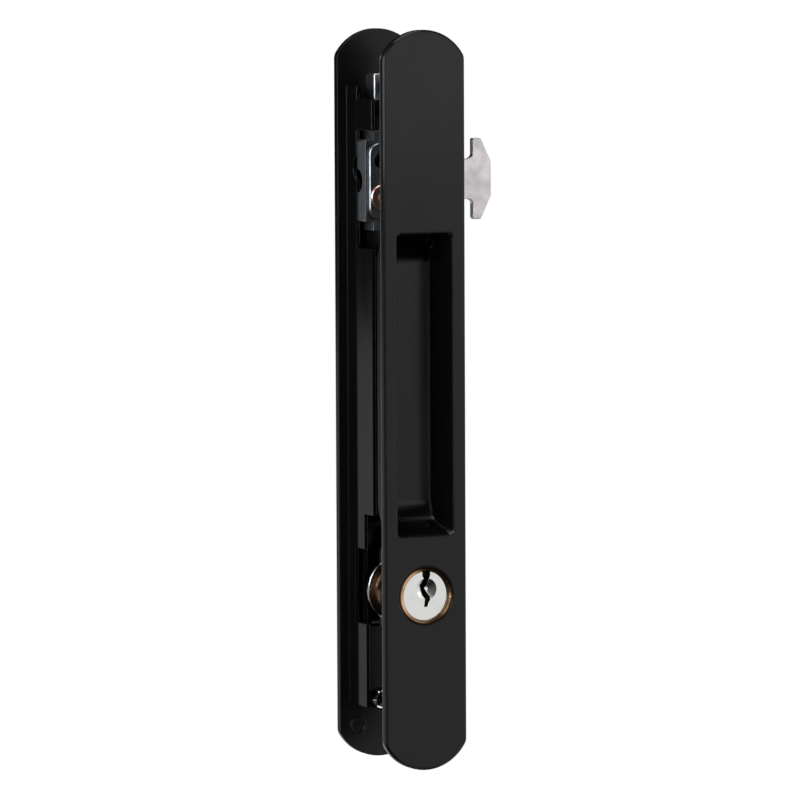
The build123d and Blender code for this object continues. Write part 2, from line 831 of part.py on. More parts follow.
def cam_slot():
    """Slot across the foot of the bar for the pin of the cam."""
    near_x = cam_pin_x - cam_pin_radius - slide_clearance
    far_x = cam_pin_orbit + cam_pin_radius + slide_clearance
    height = 2 * (cam_pin_radius + slide_clearance)
    slot = SlotOverall(far_x - near_x, height)
    return slab(Pos((near_x + far_x) / 2, cam_pin_z) * slot, foot_front_y, foot_back_y)


def carriage_case():
    """Zinc-plated tray for the root of the hook: wings in the windows, and a keel on the rails."""
    outer = RectangleRounded(2 * carriage_half_width, 2 * carriage_half_height, 2 * fitting_bevel)
    case = slab(Pos(0, carriage_z) * outer, case_front_y, wing_back_y)
    case += block(
        -carriage_keel_half_width,
        carriage_keel_half_width,
        carriage_bottom_z - lug_height,
        carriage_top_z + lug_height,
        case_front_y,
        carriage_back_y,
    )
    floor_y = carriage_back_y - carriage_wall
    inner_height = 2 * (carriage_half_height - carriage_wall)
    tray = Pos(0, carriage_z) * Rectangle(2 * (carriage_half_width - carriage_wall), inner_height)
    case -= slab(tray, case_front_y, wing_back_y - carriage_wall)
    well = Pos(0, carriage_z) * Rectangle(2 * (carriage_keel_half_width - carriage_wall), inner_height)
    case -= slab(well, wing_back_y - carriage_wall, floor_y)
    case -= block(
        0,
        2 * carriage_half_width,
        carriage_z - hook_neck_half_height,
        carriage_z + hook_neck_half_height,
        case_front_y,
        hook_back_y,
    )
    notch = Rot(0, 90, 0) * Cylinder(side_notch_radius, 4 * carriage_wall)
    case -= Pos(-carriage_half_width, wing_back_y, carriage_z) * notch
    boss_x = hook_root_half_width - hook_boss_inset
    boss_rise = hook_root_half_height - hook_boss_inset
    for x in (-boss_x, boss_x):
        for z in (carriage_z - boss_rise, carriage_z + boss_rise):
            case += disc(x, z, hook_boss_radius, hook_back_y, wing_back_y)
    return case - hook_rivet_shank()


def carriage_cover():
    """Lid of the carriage, with rounded corners."""
    width = 2 * (carriage_half_width - carriage_cover_inset)
    height = 2 * (carriage_half_height - carriage_cover_inset)
    lid = Pos(0, carriage_z) * RectangleRounded(width, height, carriage_cover_round)
    cover = slab(lid, cover_front_y, case_front_y)
    cover = chamfer(edges_at_y(cover, cover_front_y), carriage_cover_bevel)
    cover -= hook_hole(cover_front_y, case_front_y)
    cover -= hook_rivet_shank()
    for z in stud_places():
        cover -= disc(bar_x, z, stud_radius, cover_front_y, case_front_y)
    return cover


def hook_packer():
    """Packing plate between the cover and the hook."""
    packer = slab(hook_root_outline(), case_front_y, hook_front_y)
    packer -= hook_hole(case_front_y, hook_front_y)
    for z in stud_places():
        packer -= disc(bar_x, z, stud_head_radius, case_front_y, hook_front_y)
    return packer - hook_rivet_shank()


def hook_root_outline():
    return Pos(0, carriage_z) * Rectangle(2 * hook_root_half_width, 2 * hook_root_half_height)


def hook_hole(y_front, y_back):
    return disc(hook_hole_x, carriage_z + hook_hole_rise, hook_hole_radius, y_front, y_back)


def hook():
    """Double hook, stamped from plate with its root and neck."""
    upper = [
        (0, hook_neck_half_height),
        (hook_throat_x, hook_neck_half_height),
        (hook_throat_x, hook_tip_half_height),
        (hook_tip_x, hook_tip_half_height),
        (hook_nose_x, hook_nose_half_height),
    ]
    lower = [(x, -z) for x, z in reversed(upper)]
    head = make_face(Polyline(*upper, *lower, close=True))
    throats = head.vertices().filter_by_position(Axis.X, hook_throat_x - 0.01, hook_throat_x + 0.01)
    head = fillet(
        [corner for corner in throats if abs(corner.Y) < hook_tip_half_height - 0.01], hook_throat_round
    )
    outside = [
        corner
        for corner in head.vertices()
        if (corner.X, abs(round(corner.Y, 3))) in [upper[3], upper[4]]
        or abs(corner.Y) > hook_tip_half_height - 0.01
    ]
    head = fillet(outside, hook_edge_round)
    plate = slab(hook_root_outline() + Pos(0, carriage_z) * head, hook_front_y, hook_back_y)
    plate -= hook_hole(hook_front_y, hook_back_y)
    return plate - hook_rivet_shank()


def hook_rivet_shank():
    z = carriage_z - hook_rivet_drop
    return disc(hook_rivet_x, z, hook_rivet_radius, cover_front_y, carriage_back_y)


def hook_rivet():
    """Coppered rivet through the cover, the hook and the case, with a hollow head."""
    head_front_y = cover_front_y - hook_rivet_head_height
    z = carriage_z - hook_rivet_drop
    head = disc(hook_rivet_x, z, hook_rivet_head_radius, head_front_y, cover_front_y)
    head = chamfer(edges_at_y(head, head_front_y), fitting_bevel)
    head -= cone_along_y(
        hook_rivet_x, z, cover_front_y, head_front_y, hook_rivet_radius / 2, hook_rivet_radius
    )
    return hook_rivet_shank() + head


def link_stud(z):
    """Shouldered stud between the bar and the cover of the carriage."""
    stud = disc(bar_x, z, stud_radius, bar_front_y, case_front_y + stud_tail_height)
    stud += disc(bar_x, z, stud_shoulder_radius, bar_back_y, cover_front_y)
    stud += disc(bar_x, z, stud_head_radius, bar_front_y - stud_head_height, bar_front_y)
    return stud + disc(bar_x, z, stud_head_radius, case_front_y, case_front_y + stud_tail_height)


def thumb_slide():
    """Ribbed slide on the inner side of the door, with a stem through the plate to the bar."""
    stem = block(
        -thumb_stem_half_width,
        thumb_stem_half_width,
        thumb_z - thumb_stem_half_height,
        thumb_z + thumb_stem_half_height,
        foot_back_y,
        thumb_flange_y,
    )
    flange_back_y = thumb_flange_y + thumb_flange_thickness
    outline = RectangleRounded(2 * thumb_half_width, 2 * thumb_half_height, thumb_half_width / 3)
    flange = slab(Pos(0, thumb_z) * outline, thumb_flange_y, flange_back_y)
    flange = chamfer(edges_at_y(flange, flange_back_y), thumb_flange_thickness / 3)
    grip_back_y = flange_back_y + thumb_grip_height
    grip_profile = make_face(
        Polyline(
            (flange_back_y, -thumb_grip_foot_half_width),
            (grip_back_y, -thumb_grip_top_half_width),
            (grip_back_y, thumb_grip_top_half_width),
            (flange_back_y, thumb_grip_foot_half_width),
            close=True,
        )
    )
    grip_plane = Plane(
        origin=(0, 0, thumb_z - thumb_grip_half_height), x_dir=(0, 1, 0), z_dir=(0, 0, 1)
    )
    grip = extrude(grip_plane * grip_profile, amount=2 * thumb_grip_half_height)
    for index in range(thumb_rib_count):
        z = thumb_z + (index - (thumb_rib_count - 1) / 2) * thumb_rib_pitch
        grip -= block(
            -thumb_half_width,
            thumb_half_width,
            z - thumb_rib_width / 2,
            z + thumb_rib_width / 2,
            grip_back_y - thumb_rib_depth,
            grip_back_y,
        )
    slide = stem + flange + grip
    for side in (-1, 1):
        slide -= thumb_screw_shank(side)
    return slide


def thumb_screw_shank(side):
    z = thumb_z + side * thumb_screw_spread
    return disc(0, z, thumb_screw_radius, foot_front_y, foot_front_y + thumb_screw_length)


def thumb_screw(side):
    """Screw from the foot of the bar into the stem of the thumb slide."""
    z = thumb_z + side * thumb_screw_spread
    head_front_y = foot_front_y - thumb_screw_head_height
    head = disc(0, z, thumb_screw_head_radius, head_front_y, foot_front_y)
    head -= cross_recess(0, z, head_front_y, thumb_screw_head_radius, 1)
    return thumb_screw_shank(side) + head


def parts():
    """Every sub-part by its name."""
    pieces = {
        "front_plate": front_plate(),
        "rear_plate": rear_plate(),
        "cylinder_barrel": cylinder_barrel(),
        "cylinder_end_plate": cylinder_end_plate(),
        "cylinder_set_screw": cylinder_set_screw(),
        "cylinder_plug": cylinder_plug(),
        "plug_cap": plug_cap(),
        "cam": cam(),
        "cam_screw": cam_screw(),
        "friction_leaf": friction_leaf(),
        "slide_bar": slide_bar(),
        "carriage_case": carriage_case(),
        "carriage_cover": carriage_cover(),
        "hook_packer": hook_packer(),
        "hook": hook(),
        "hook_rivet": hook_rivet(),
        "thumb_slide": thumb_slide(),
    }
    for name, side in (("top", 1), ("bottom", -1)):
        pieces[f"{name}_post"] = mounting_post(side)
        pieces[f"{name}_mounting_screw"] = mounting_screw(side)
        pieces[f"{name}_screw_collar"] = screw_collar(side)
    for name, side in (("left", -1), ("right", 1)):
        pieces[f"end_plate_screw_{name}"] = end_plate_screw(side)
    for name, z in (("top", top_guide_z), ("middle", middle_guide_z), ("bottom", bottom_guide_z)):
        pieces[f"bar_guide_{name}"] = bar_guide(z)
    for name, z in zip(("lower", "upper"), stud_places()):
        pieces[f"{name}_link_stud"] = link_stud(z)
    for name, side in (("upper", 1), ("lower", -1)):
        pieces[f"thumb_screw_{name}"] = thumb_screw(side)
    for index in range(wafer_count):
        pieces[f"wafer_{index + 1}"] = wafer(index)
        pieces[f"wafer_spring_{index + 1}"] = wafer_spring(index)
    return pieces


os.makedirs("parts", exist_ok=True)
for part_name, piece in parts().items():
    export_step(piece, f"parts/{part_name}.step")
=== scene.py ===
"""Looks of a flush lock for a sliding door: its finishes, a floor, studio light and a camera."""

import math

import bpy
from bpy.props import FloatProperty, FloatVectorProperty, PointerProperty
from mathutils import Euler, Matrix, Vector


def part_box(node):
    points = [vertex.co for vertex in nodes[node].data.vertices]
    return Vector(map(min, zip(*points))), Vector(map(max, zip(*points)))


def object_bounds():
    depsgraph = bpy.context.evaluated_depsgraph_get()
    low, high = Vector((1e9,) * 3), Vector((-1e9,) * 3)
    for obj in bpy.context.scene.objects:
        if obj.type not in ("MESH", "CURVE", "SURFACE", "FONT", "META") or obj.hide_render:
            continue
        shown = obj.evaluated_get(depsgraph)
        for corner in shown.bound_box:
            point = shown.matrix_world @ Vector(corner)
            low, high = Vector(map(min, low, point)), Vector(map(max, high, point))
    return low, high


bl_info = {
    "name": "Sliding Door Lock",
    "version": (1, 0, 0),
    "blender": (4, 5, 0),
    "location": "View3D > Sidebar > Door Lock",
    "description": "Finishes and stages a flush lock for a sliding door",
    "category": "Object",
}

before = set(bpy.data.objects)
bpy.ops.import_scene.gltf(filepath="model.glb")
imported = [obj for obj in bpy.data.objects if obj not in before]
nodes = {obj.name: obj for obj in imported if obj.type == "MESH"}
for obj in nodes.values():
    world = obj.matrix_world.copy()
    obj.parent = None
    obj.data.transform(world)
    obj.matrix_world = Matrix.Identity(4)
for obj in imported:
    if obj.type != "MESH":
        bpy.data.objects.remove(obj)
cad_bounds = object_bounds()

millimetre = 0.001
white = (1.0, 1.0, 1.0, 1.0)

# A noise pattern stays mostly between these two values.
pattern_range = (0.25, 0.75)

# Edges that turn by more than this are sharp, and get a small bevel.
sharp_edge = math.radians(40)

# Horizontal directions, x to the right and y to the rear: the middle of the wide light panel, and what the
# faces at the lock's left side mirror for the camera.
panel_side = (0.766, -0.643)
mirror_side = (-0.414, 0.91)


class PaintProperties(bpy.types.PropertyGroup):
    """Black paint on the cast plates and the thumb slide."""

    colour: FloatVectorProperty(
        name="Colour", description="Colour of the paint",
        subtype="COLOR", size=3, default=(0.0036, 0.0036, 0.0037),
    )
    gloss: FloatProperty(
        name="Roughness", description="Mean roughness of the paint",
        subtype="FACTOR", default=0.09,
    )
    shine: FloatProperty(
        name="Shine", description="Strength of the mirror reflection",
        subtype="FACTOR", default=0.35,
    )
    ripple: FloatProperty(
        name="Ripple", description="Spacing of the ripple in the paint",
        subtype="DISTANCE", unit="LENGTH", default=1.4 * millimetre,
    )
    speck_spacing: FloatProperty(
        name="Speck spacing", description="Mean distance between dust specks",
        subtype="DISTANCE", unit="LENGTH", default=2.4 * millimetre,
    )
    speck_radius: FloatProperty(
        name="Speck radius", description="Radius of the largest dust specks",
        subtype="DISTANCE", unit="LENGTH", default=0.2 * millimetre,
    )
    dust: FloatProperty(
        name="Dust", description="Brightness of the specks on the front plate and the slide",
        subtype="FACTOR", default=0.02,
    )
    rear_dust: FloatProperty(
        name="Rear dust", description="Brightness of the specks on the rear plate",
        subtype="FACTOR", default=0.16,
    )
    inner_gloss: FloatProperty(
        name="Inner roughness", description="Added roughness of the rear plate's inner face",
        subtype="FACTOR", default=0.2,
    )
    recess_gloss: FloatProperty(
        name="Recess roughness", description="Added roughness inside the finger recess",
        subtype="FACTOR", default=0.09,
    )
    edge_round: FloatProperty(
        name="Edge round", description="Bevel of the painted edges",
        subtype="DISTANCE", unit="LENGTH", default=0.22 * millimetre,
    )
    rim_round: FloatProperty(
        name="Rim round", description="Shaded rounding of the front plate's edges",
        subtype="DISTANCE", unit="LENGTH", default=1.1 * millimetre,
    )
    cast_round: FloatProperty(
        name="Casting round", description="Shaded rounding of the rear plate's edges and corners",
        subtype="DISTANCE", unit="LENGTH", default=0.5 * millimetre,
    )


class MetalProperties(bpy.types.PropertyGroup):
    """Bare and plated metals of the cylinder, the hook and the carriage."""

    brass: FloatVectorProperty(
        name="Brass", description="Colour of the turned brass",
        subtype="COLOR", size=3, default=(0.72, 0.45, 0.23),
    )
    chrome: FloatVectorProperty(
        name="Bright plating", description="Colour of the bright plating",
        subtype="COLOR", size=3, default=(0.9, 0.9, 0.89),
    )
    zinc: FloatVectorProperty(
        name="Zinc plating", description="Colour of the bluish zinc plating",
        subtype="COLOR", size=3, default=(0.42, 0.46, 0.5),
    )
    nickel: FloatVectorProperty(
        name="Satin nickel", description="Colour of the hook's plating",
        subtype="COLOR", size=3, default=(0.8, 0.755, 0.775),
    )
    copper: FloatVectorProperty(
        name="Copper plating", description="Colour of the rivet's plating",
        subtype="COLOR", size=3, default=(0.86, 0.56, 0.45),
    )
    steel: FloatVectorProperty(
        name="Spring steel", description="Colour of the bare steel",
        subtype="COLOR", size=3, default=(0.35, 0.35, 0.36),
    )
    oxide: FloatVectorProperty(
        name="Black oxide", description="Colour of the blackened screws",
        subtype="COLOR", size=3, default=(0.03, 0.03, 0.032),
    )
    edge_round: FloatProperty(
        name="Edge round", description="Bevel of the edges of the stamped pieces",
        subtype="DISTANCE", unit="LENGTH", default=0.12 * millimetre,
    )


class StageProperties(bpy.types.PropertyGroup):
    """Floor and camera."""

    floor_drop: FloatProperty(
        name="Floor drop", description="Height of the lock's lower end over the floor",
        subtype="DISTANCE", unit="LENGTH", default=0.55,
    )
    floor_radius: FloatProperty(
        name="Floor radius", description="Radius of the round floor",
        subtype="DISTANCE", unit="LENGTH", default=0.2,
    )
    azimuth: FloatProperty(
        name="Azimuth", description="Turn of the camera round the lock",
        subtype="ANGLE", unit="ROTATION", default=math.radians(-24.48),
    )
    elevation: FloatProperty(
        name="Elevation", description="Height angle of the camera",
        subtype="ANGLE", unit="ROTATION", default=math.radians(4.74),
    )
    roll: FloatProperty(
        name="Roll", description="Tilt of the camera about its view",
        subtype="ANGLE", unit="ROTATION", default=math.radians(-0.25),
    )
    distance: FloatProperty(
        name="Distance", description="Distance of the camera from the lock's middle",
        subtype="DISTANCE", unit="LENGTH", default=1.909,
    )
    lens: FloatProperty(
        name="Lens", description="Focal length of the camera",
        subtype="DISTANCE_CAMERA", unit="CAMERA", default=252.8,
    )
    shift: FloatProperty(
        name="Shift", description="Upward shift of the view, as a share of its width",
        default=-0.0031,
    )


GROUPS = {
    "paint": PaintProperties,
    "metal": MetalProperties,
    "stage": StageProperties,
}


class DoorLockProperties(bpy.types.PropertyGroup):
    """Everything that can be set on the lock's looks."""

    paint: PointerProperty(type=PaintProperties)
    metal: PointerProperty(type=MetalProperties)
    stage: PointerProperty(type=StageProperties)


class Graph:
    """A node tree, emptied, with helpers that add to it."""

    def __init__(self, tree):
        self.tree = tree
        tree.nodes.clear()

    def fill(self, socket, value):
        """Set an input to a number or colour, or lead an output to it."""
        if isinstance(value, bpy.types.NodeSocket):
            self.tree.links.new(value, socket)
        else:
            socket.default_value = value

    def add(self, kind, inputs=None, **settings):
        """Add a node, set its own options and fill some of its inputs."""
        node = self.tree.nodes.new(kind)
        for key, value in settings.items():
            setattr(node, key, value)
        for key, value in (inputs or {}).items():
            self.fill(node.inputs[key], value)
        return node

    def math(self, operation, *values):
        """Number worked out from one, two or three others."""
        return self.add("ShaderNodeMath", dict(enumerate(values)), operation=operation).outputs[0]

    def chain(self, operation, first, *others):
        """Number worked out by carrying one operation through several values."""
        for value in others:
            first = self.math(operation, first, value)
        return first

    def split(self, vector):
        """The three parts of a vector, under the names X, Y and Z."""
        return self.add("ShaderNodeSeparateXYZ", {"Vector": vector}).outputs

    def span(self, value, between, levels, interpolation="LINEAR"):
        """Value carried from one range to another, and held at the ends."""
        inputs = {
            "Value": value,
            "From Min": between[0],
            "From Max": between[1],
            "To Min": levels[0],
            "To Max": levels[1],
        }
        return self.add("ShaderNodeMapRange", inputs, interpolation_type=interpolation).outputs["Result"]


class Finish(Graph):
    """A material for one finish, with helpers that add its layers."""

    def __init__(self, name, colour, metallic, roughness):
        self.material = bpy.data.materials.new(name)
        self.material.use_nodes = True
        super().__init__(self.material.node_tree)
        self.colour = (*colour, 1.0)
        self.roughness = roughness
        self.height = None
        self.edge = None
        inputs = {"Base Color": self.colour, "Metallic": metallic, "Roughness": roughness}
        self.shader = self.add("ShaderNodeBsdfPrincipled", inputs)
        self.add("ShaderNodeOutputMaterial", {"Surface": self.shader.outputs["BSDF"]})
        self.place = self.add("ShaderNodeTexCoord").outputs["Object"]

    def drawn_out(self, share):
        """Place on the piece with its height at a share, so that patterns come out long up and down."""
        inputs = {"Vector": self.place, "Scale": (1.0, 1.0, share)}
        return self.add("ShaderNodeMapping", inputs).outputs["Vector"]

    def noise(self, spacing, detail=3.0, place=None, sharpness=0.5):
        """Soft random pattern with a mean spacing in metres."""
        inputs = {
            "Vector": place or self.place,
            "Scale": 1 / spacing,
            "Detail": detail,
            "Roughness": sharpness,
        }
        return self.add("ShaderNodeTexNoise", inputs).outputs["Fac"]

    def specks(self, spacing, radius, empty=0.55):
        """Mask of small dots, one in each cell of a pattern apart from the share that is empty."""
        cells = self.add("ShaderNodeTexVoronoi", {"Vector": self.place, "Scale": 1 / spacing})
        chance = self.add("ShaderNodeSeparateColor", {"Color": cells.outputs["Color"]}).outputs
        size = self.math("MULTIPLY", chance[0], radius / spacing)
        near = self.math("LESS_THAN", cells.outputs["Distance"], size)
        present = self.math("GREATER_THAN", chance[1], empty)
        return self.math("MULTIPLY", near, present)

    def from_axis(self, centre_z):
        """Distance from an axis along Y at one height."""
        place = self.split(self.place)
        rise = self.math("SUBTRACT", place["Z"], centre_z)
        square = self.math("MULTIPLY", rise, rise)
        return self.math("SQRT", self.math("MULTIPLY_ADD", place["X"], place["X"], square))

    def rings(self, centre_z, pitch):
        """Fine turned rings round an axis along Y."""
        turned = self.math("ADD", self.from_axis(centre_z), self.split(self.place)["Y"])
        return self.math("SINE", self.math("MULTIPLY", turned, 2 * math.pi / pitch))

    def tint(self, mask, colour):
        """Blend the colour towards another where the mask is high."""
        # Inputs 6 and 7 and output 2 of this node are its colours.
        inputs = {0: mask, 6: self.colour, 7: (*colour, 1.0)}
        self.colour = self.add("ShaderNodeMix", inputs, data_type="RGBA").outputs[2]

    def stain(self, pattern, between, strength, colour):
        """Blend in a colour with a strength that grows from nothing over a range of a pattern."""
        self.tint(self.span(pattern, between, (0.0, strength)), colour)

    def vary_roughness(self, pattern, low, high):
        """Let a pattern move the roughness between two numbers."""
        self.roughness = self.span(pattern, pattern_range, (low, high))

    def emboss(self, pattern, depth):
        """Add a pattern of a real depth to the surface's relief."""
        scaled = self.math("MULTIPLY", pattern, depth)
        self.height = scaled if self.height is None else self.math("ADD", self.height, scaled)

    def round_edges(self, radius):
        """Let sharp edges and inner corners catch the light as if rounded."""
        self.edge = self.add("ShaderNodeBevel", {"Radius": radius}, samples=4).outputs["Normal"]

    def done(self):
        """Join the layers to the shader and give back the material."""
        relief = {} if self.edge is None else {"Normal": self.edge}
        if self.height is not None:
            bump = self.add("ShaderNodeBump", {"Height": self.height, "Distance": 1.0, **relief})
            relief = {"Normal": bump.outputs["Normal"]}
        layers = {"Base Color": self.colour, "Roughness": self.roughness, **relief}
        for key, value in layers.items():
            self.fill(self.shader.inputs[key], value)
        return self.material


def darker(colour, share):
    """The same colour at a share of its brightness."""
    return tuple(channel * share for channel in colour)


def black_paint(name, paint, round_radius, dust, dull_face=None):
    """Black paint baked on a casting, with a faint ripple and dust specks.

    dust is the brightness of the specks. dull_face gives two depths between which the paint is duller, as on
    the face towards the door or inside the recess, and by how much.
    """
    finish = Finish(name, paint.colour, metallic=0.0, roughness=paint.gloss)
    finish.fill(finish.shader.inputs["Specular IOR Level"], paint.shine)
    clouds = finish.noise(18 * millimetre, detail=4.0)
    finish.stain(clouds, between=(0.35, 0.7), strength=1.0, colour=darker(paint.colour, 0.7))
    specks = finish.specks(paint.speck_spacing, paint.speck_radius)
    finish.tint(specks, (dust, dust, dust))
    smears = finish.noise(9 * millimetre, place=finish.drawn_out(0.3))
    finish.vary_roughness(smears, low=paint.gloss - 0.03, high=paint.gloss + 0.04)
    if dull_face:
        front, back, duller = dull_face
        depth = finish.split(finish.place)["Y"]
        past_front = finish.math("GREATER_THAN", depth, front)
        before_back = finish.math("LESS_THAN", depth, back)
        dull = finish.math("MULTIPLY", past_front, before_back)
        finish.roughness = finish.math("MULTIPLY_ADD", dull, duller, finish.roughness)
    finish.emboss(finish.noise(paint.ripple, detail=2.0), depth=0.0008 * millimetre)
    finish.emboss(finish.noise(0.25 * millimetre, detail=1.0), depth=0.0001 * millimetre)
    finish.emboss(specks, depth=0.02 * millimetre)
    finish.round_edges(round_radius)
    return finish.done()


def turned_brass(metal, centre_z, bore, rim_y):
    """Brass with turning marks, tarnish, a hollowed rim and painted shade behind it, in its bore and on its
    rim.
    """
    brown = (0.2, 0.075, 0.02)
    rim_shade = (0.05, 0.016, 0.006)
    rim_width = 1.5 * millimetre
    finish = Finish("turned_brass", metal.brass, metallic=1.0, roughness=0.3)
    tarnish = finish.noise(3.5 * millimetre, detail=5.0, sharpness=0.6)
    finish.stain(tarnish, between=(0.45, 0.75), strength=0.6, colour=darker(metal.brass, 0.55))
    finish.vary_roughness(tarnish, low=0.13, high=0.24)
    depth = finish.split(finish.place)["Y"]
    radius = finish.from_axis(centre_z)
    # Painted shade: the brass turns brown deeper behind the rim, where it sits between the plates.
    finish.stain(depth, between=(rim_y, rim_y + 5 * millimetre), strength=0.85, colour=brown)
    # Painted shade: everything inside the cap's radius, the counterbore and bore, is nearly black.
    finish.tint(finish.math("LESS_THAN", radius, bore), darker(metal.brass, 0.02))
    # Painted shade: dark rings on the front of the rim, at its outer edge by the plate's hole and its inner
    # edge by the cap.
    front = finish.math("LESS_THAN", depth, rim_y + 0.1 * millimetre)
    outer_band = (bore + 0.75 * millimetre, bore + 1.05 * millimetre)
    inner_band = (bore + 0.1 * millimetre, bore + 0.35 * millimetre)
    outer = finish.span(radius, between=outer_band, levels=(0.0, 0.95))
    inner = finish.span(radius, between=inner_band, levels=(0.85, 0.0))
    finish.tint(finish.math("MULTIPLY", front, finish.math("MAXIMUM", outer, inner)), rim_shade)
    hollow = finish.span(radius, between=(bore, bore + rim_width), levels=(0.0, 1.0))
    finish.emboss(hollow, depth=0.36 * rim_width)
    finish.emboss(finish.rings(centre_z, pitch=0.22 * millimetre), depth=0.0012 * millimetre)
    finish.emboss(finish.noise(0.5 * millimetre), depth=0.002 * millimetre)
    finish.round_edges(0.2 * millimetre)
    return finish.done()


def keyway_brass(metal, centre_z):
    """Plug and wafer brass with oil blotches, darkened as painted shade and nearly black in the keyway's
    upper half.
    """
    # Painted shade: the keyway's brass starts at under half the brightness of the turned brass.
    finish = Finish("keyway_brass", darker(metal.brass, 0.45), metallic=0.5, roughness=0.42)
    height = finish.split(finish.place)["Z"]
    shaded_upper_half = (centre_z - 2 * millimetre, centre_z + 1 * millimetre)
    # Painted shade: the keyway's upper half is made nearly black.
    finish.stain(height, between=shaded_upper_half, strength=0.97, colour=darker(metal.brass, 0.02))
    oil = finish.noise(1.2 * millimetre, detail=4.0)
    finish.stain(oil, between=(0.45, 0.7), strength=0.8, colour=darker(metal.brass, 0.07))
    finish.vary_roughness(oil, low=0.34, high=0.55)
    finish.emboss(finish.noise(0.4 * millimetre), depth=0.003 * millimetre)
    return finish.done()


def bright_plating(name, metal, centre_z, round_radius):
    """Bright plating over a fine turned face."""
    finish = Finish(name, metal.chrome, metallic=1.0, roughness=0.13)
    haze = finish.noise(4 * millimetre, detail=4.0)
    finish.stain(haze, between=(0.5, 0.8), strength=0.35, colour=darker(metal.chrome, 0.8))
    finish.vary_roughness(haze, low=0.06, high=0.15)
    finish.emboss(finish.rings(centre_z, pitch=0.3 * millimetre), depth=0.0003 * millimetre)
    finish.emboss(finish.noise(2.2 * millimetre, detail=1.0), depth=0.003 * millimetre)
    finish.round_edges(round_radius)
    return finish.done()


def zinc_plating(metal):
    """Bluish zinc plating on pressed steel, mottled and faintly scratched."""
    yellowed = (0.55, 0.5, 0.42)
    finish = Finish("zinc_plating", metal.zinc, metallic=1.0, roughness=0.34)
    mottle = finish.noise(2.2 * millimetre, detail=6.0, sharpness=0.65)
    finish.stain(mottle, between=(0.4, 0.7), strength=0.8, colour=darker(metal.zinc, 0.55))
    warm = finish.noise(6 * millimetre)
    finish.stain(warm, between=(0.55, 0.75), strength=0.35, colour=yellowed)
    finish.vary_roughness(mottle, low=0.26, high=0.44)
    scratches = finish.noise(0.35 * millimetre, place=finish.drawn_out(0.06))
    finish.emboss(scratches, depth=0.0015 * millimetre)
    finish.emboss(finish.noise(0.9 * millimetre), depth=0.004 * millimetre)
    finish.round_edges(0.15 * millimetre)
    return finish.done()


def satin_nickel(metal):
    """Satin plating on a stamped plate, clouded and pitted."""
    finish = Finish("satin_nickel", metal.nickel, metallic=1.0, roughness=0.26)
    clouds = finish.noise(5 * millimetre, detail=5.0)
    finish.stain(clouds, between=(0.4, 0.7), strength=0.6, colour=darker(metal.nickel, 0.8))
    pits = finish.specks(1.1 * millimetre, 0.12 * millimetre)
    finish.tint(pits, darker(metal.nickel, 0.45))
    finish.vary_roughness(clouds, low=0.2, high=0.34)
    finish.emboss(finish.noise(0.6 * millimetre), depth=0.005 * millimetre)
    finish.emboss(pits, depth=-0.02 * millimetre)
    finish.round_edges(0.45 * millimetre)
    return finish.done()


def copper_plating(metal):
    """Copper plating on a pressed rivet head."""
    tarnished = (0.5, 0.22, 0.2)
    finish = Finish("copper_plating", metal.copper, metallic=1.0, roughness=0.3)
    clouds = finish.noise(1.6 * millimetre, detail=4.0)
    finish.stain(clouds, between=(0.45, 0.7), strength=0.7, colour=tarnished)
    finish.vary_roughness(clouds, low=0.22, high=0.4)
    finish.emboss(finish.noise(0.4 * millimetre), depth=0.002 * millimetre)
    return finish.done()


def spring_steel(metal):
    """Bare rolled steel with grain along its length."""
    finish = Finish("spring_steel", metal.steel, metallic=1.0, roughness=0.35)
    grain = finish.noise(0.5 * millimetre, place=finish.drawn_out(0.1))
    finish.stain(grain, between=(0.4, 0.7), strength=0.6, colour=darker(metal.steel, 0.6))
    finish.vary_roughness(grain, low=0.28, high=0.45)
    finish.emboss(grain, depth=0.001 * millimetre)
    return finish.done()


def black_oxide(metal):
    """Blackened steel of the screws, with bright wear in patches."""
    worn = (0.2, 0.19, 0.18)
    finish = Finish("black_oxide", metal.oxide, metallic=0.6, roughness=0.38)
    wear = finish.noise(0.8 * millimetre, detail=5.0, sharpness=0.7)
    finish.stain(wear, between=(0.6, 0.75), strength=0.5, colour=worn)
    finish.vary_roughness(wear, low=0.3, high=0.48)
    finish.emboss(finish.noise(0.3 * millimetre), depth=0.002 * millimetre)
    return finish.done()


def plated_screw(metal):
    """Zinc plating of the small screws and studs."""
    finish = Finish("plated_screw", darker(metal.zinc, 1.3), metallic=1.0, roughness=0.25)
    mottle = finish.noise(0.9 * millimetre, detail=4.0)
    finish.stain(mottle, between=(0.5, 0.75), strength=0.7, colour=darker(metal.zinc, 0.8))
    finish.vary_roughness(mottle, low=0.18, high=0.36)
    finish.emboss(mottle, depth=0.002 * millimetre)
    return finish.done()


def coat(names, material):
    """Give some of the lock's pieces one finish."""
    for name in names:
        mesh = nodes[name].data
        mesh.materials.clear()
        mesh.materials.append(material)


def soften(names, width):
    """Round the sharp edges of some pieces so that they catch the light."""
    for name in names:
        piece = nodes[name]
        weld = piece.modifiers.new("join_faces", "WELD")
        weld.merge_threshold = millimetre / 1000
        bevel = piece.modifiers.new("soft_edges", "BEVEL")
        bevel.width = width
        bevel.segments = 2
        bevel.limit_method = "ANGLE"
        bevel.angle_limit = sharp_edge
        bevel.harden_normals = True


def names_starting(*starts):
    """Names of the pieces that begin with one of some words."""
    return [name for name in sorted(nodes) if name.startswith(starts)]


class DoorLockOperator:
    """What the operators of the lock share."""

    bl_options = {"REGISTER", "UNDO"}

    def settings(self, context):
        """Everything that is set on the lock's looks."""
        return context.scene.door_lock


